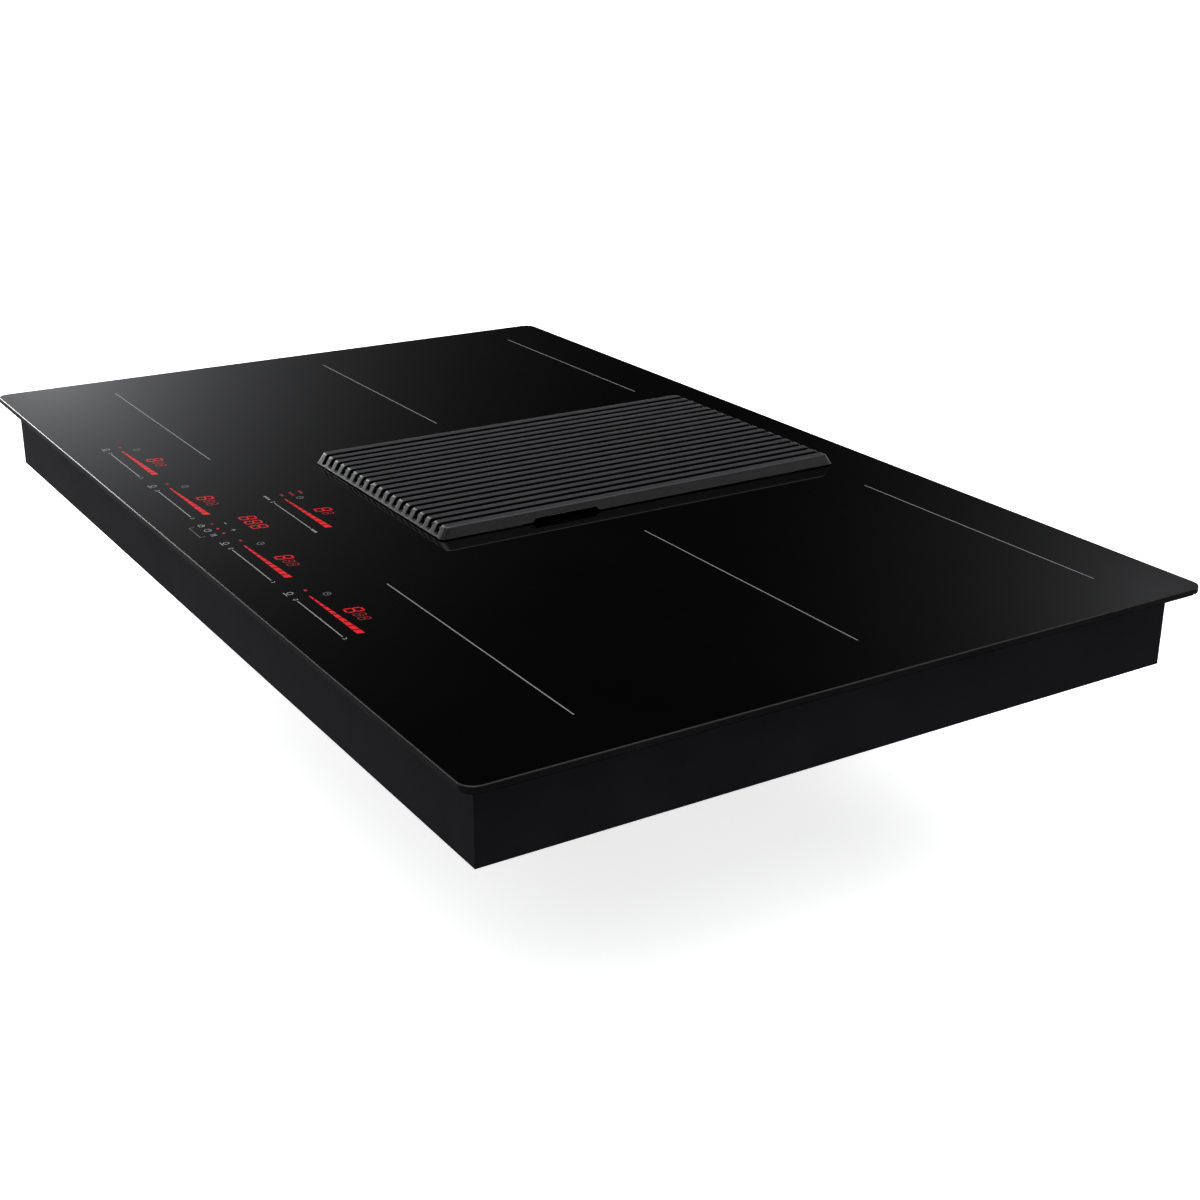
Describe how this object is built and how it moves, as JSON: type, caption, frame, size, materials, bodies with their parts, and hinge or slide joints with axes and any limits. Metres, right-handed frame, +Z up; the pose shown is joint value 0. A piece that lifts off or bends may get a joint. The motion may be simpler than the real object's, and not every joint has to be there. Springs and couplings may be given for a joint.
{
  "type": "downdraft induction cooktop",
  "caption": "Built-in induction cooktop with a black glass top, flex zones, touch controls and a slatted central air intake over a grease filter, blower and rear flat-duct outlet.",
  "frame": {"origin": "centre of the worktop cut-out, on the worktop's upper face, where the seal under the glass rim rests", "axes": "+X to the user's right along the front edge, +Y from the user to the back, +Z up"},
  "size_m": [0.83, 0.515, 0.204],
  "materials": {
    "ceramic_black": "polished black ceramic glass",
    "seal_foam": "matt foam",
    "grille_graphite": "satin graphite",
    "pad_rubber": "soft matt",
    "casing_black": "satin black",
    "well_plastic": "fine textured",
    "filter_steel": "brushed",
    "tray_plastic": "smooth satin",
    "blower_plastic": "fine textured",
    "wheel_plastic": "smooth satin",
    "zinc_steel": "zinc plated",
    "core_steel": "laminated",
    "copper_wire": "enamelled copper",
    "aluminium_plate": "mill finish",
    "ferrite_grey": "sintered",
    "mica_white": "fibre sheet",
    "board_green": "solder resist",
    "part_black": "moulded",
    "film_blue": "moulded",
    "light_white": "diffusing",
    "holder_grey": "fine textured",
    "mark_print": "printed grey",
    "mark_red": "lit red segments"
  },
  "bodies": {
    "cooktop": {"ceramic_glass": "ceramic_black", "rim_seal": "seal_foam", "intake_collar": "well_plastic", "well_gasket": "seal_foam", "intake_well": "well_plastic", "well_screws": "zinc_steel", "housing_upper": "blower_plastic", "housing_lower": "blower_plastic", "housing_screws": "zinc_steel", "motor_bearings": "zinc_steel", "motor_base": "aluminium_plate", "motor_rubber_mounts": "pad_rubber", "stator_core": "core_steel", "stator_windings": "copper_wire", "outlet_spigot": "blower_plastic", "casing_base": "casing_black", "casing_walls": "casing_black", "coil_front_left": "copper_wire", "coil_rear_left": "copper_wire", "coil_front_right": "copper_wire", "coil_rear_right": "copper_wire", "ferrite_bars": "ferrite_grey", "insulation_sheets": "mica_white", "zone_sensors": "light_white", "plate_springs": "zinc_steel", "power_transistors": "part_black", "board_capacitors": "film_blue", "power_chokes": "copper_wire", "mains_board": "board_green", "terminal_block": "holder_grey", "terminal_cover": "part_black", "cable_gland": "part_black", "touch_board": "board_green", "light_guides": "light_white", "control_holder": "holder_grey", "coil_plate_left": "aluminium_plate", "board_carrier_left": "part_black", "power_board_left": "board_green", "heat_sink_left": "aluminium_plate", "cooling_fan_frame_left": "part_black", "coil_plate_right": "aluminium_plate", "board_carrier_right": "part_black", "power_board_right": "board_green", "heat_sink_right": "aluminium_plate", "cooling_fan_frame_right": "part_black"},
    "drip_tray_body": {"drip_tray": "tray_plastic"},
    "grease_filter": {"filter_basket": "filter_steel", "filter_mesh": "filter_steel", "filter_grip": "filter_steel"},
    "grille": {"intake_grille": "grille_graphite", "grille_pads": "pad_rubber"},
    "blower_wheel": {"blower_impeller": "wheel_plastic", "rotor_cup": "zinc_steel", "rotor_magnets": "ferrite_grey", "motor_shaft": "zinc_steel"},
    "upper_flap": {"flap_upper": "wheel_plastic"},
    "lower_flap": {"flap_lower": "wheel_plastic"},
    "left_fan_wheel": {"cooling_fan_rotor_left": "wheel_plastic"},
    "right_fan_wheel": {"cooling_fan_rotor_right": "wheel_plastic"}
  },
  "joints": [
    {"name": "tray_lift", "type": "slide", "parent": "cooktop", "child": "drip_tray_body", "axis": [0, 0, 1], "range_m": [0, 0.09]},
    {"name": "filter_lift", "type": "slide", "parent": "drip_tray_body", "child": "grease_filter", "axis": [0, 0, 1], "range_m": [0, 0.07]},
    {"name": "grille_lift", "type": "slide", "parent": "grease_filter", "child": "grille", "axis": [0, 0, 1], "range_m": [0, 0.06]},
    {"name": "impeller_spin", "type": "hinge", "parent": "cooktop", "child": "blower_wheel", "pos_m": [0, 0.04, -0.15], "axis": [0, 0, 1], "continuous": true},
    {"name": "upper_flap_swing", "type": "hinge", "parent": "cooktop", "child": "upper_flap", "pos_m": [0.0425, 0.197, -0.1107], "axis": [1, 0, 0], "range_deg": [0, 80]},
    {"name": "lower_flap_swing", "type": "hinge", "parent": "cooktop", "child": "lower_flap", "pos_m": [0.0425, 0.197, -0.148], "axis": [1, 0, 0], "range_deg": [0, 80]},
    {"name": "left_fan_spin", "type": "hinge", "parent": "cooktop", "child": "left_fan_wheel", "pos_m": [-0.2605, -0.14, -0.0393], "axis": [0, 0, 1], "continuous": true},
    {"name": "right_fan_spin", "type": "hinge", "parent": "cooktop", "child": "right_fan_wheel", "pos_m": [0.2605, -0.14, -0.0393], "axis": [0, 0, 1], "continuous": true}
  ]
}
